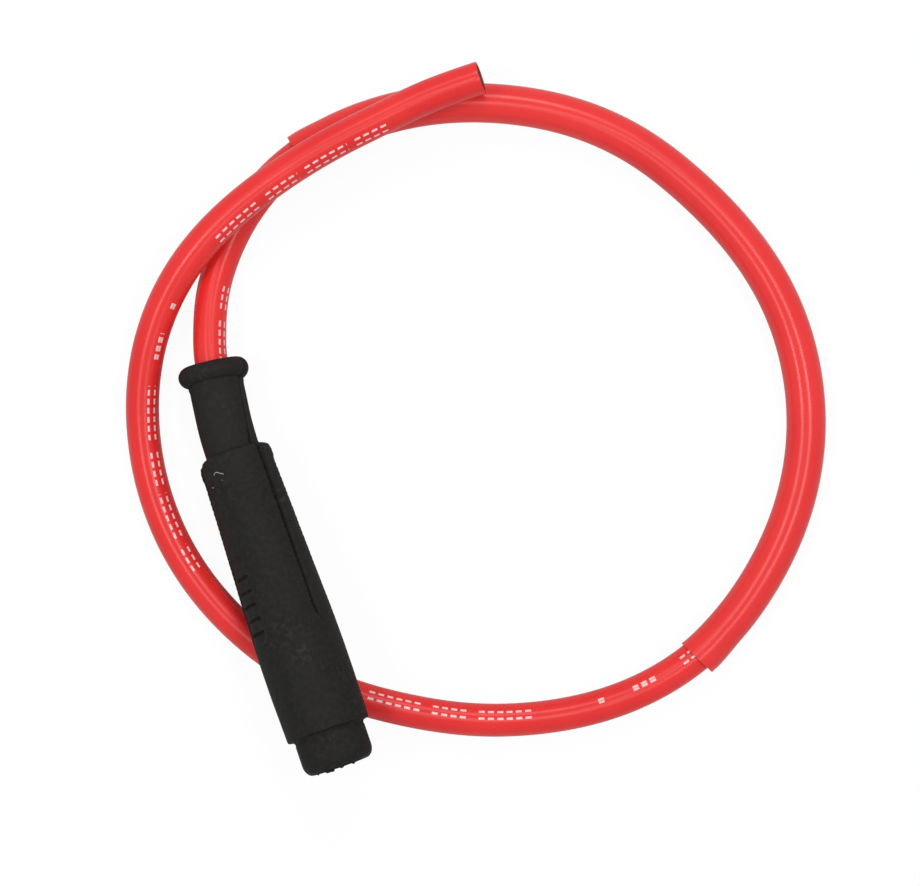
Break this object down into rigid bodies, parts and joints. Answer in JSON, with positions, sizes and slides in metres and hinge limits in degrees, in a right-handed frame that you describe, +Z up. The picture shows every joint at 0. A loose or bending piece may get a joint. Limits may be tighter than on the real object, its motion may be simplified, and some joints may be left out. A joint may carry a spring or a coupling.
{
  "type": "spark plug cap",
  "caption": "Straight rubber spark plug cap with an inner resistor and socket, fitted to a looped high-tension lead with a loose sleeve and a bare cut end.",
  "frame": {"origin": "on the ground plane under the middle of the cap, which lies on its side", "axes": "+Z up from the ground; the cap runs along Y, with its mouth towards -Y and leaning up by 7.6 degrees, and the lead's end of the cap towards +Y; the lead's loop lies towards +X"},
  "size_m": [0.1461, 0.1408, 0.0264],
  "materials": {
    "boot_rubber": "matt moulded black rubber",
    "holder_resin": "moulded dark resin",
    "terminal_brass": "turned brass",
    "spring_steel": "drawn spring wire",
    "resistor_ceramic": "unglazed ceramic rod",
    "lead_jacket": "smooth red silicone jacket with a soft gloss",
    "sleeve_plastic": "thin glossy red sleeve"
  },
  "bodies": {
    "root": {"rubber_boot": "boot_rubber", "resin_holder": "holder_resin", "plug_socket": "terminal_brass", "retaining_clip": "spring_steel", "contact_spring": "spring_steel", "resistor_rod": "resistor_ceramic", "resistor_cap_lower": "terminal_brass", "resistor_cap_upper": "terminal_brass", "wire_terminal": "terminal_brass", "ht_lead": "lead_jacket", "lead_sleeve": "sleeve_plastic"}
  },
  "joints": []
}
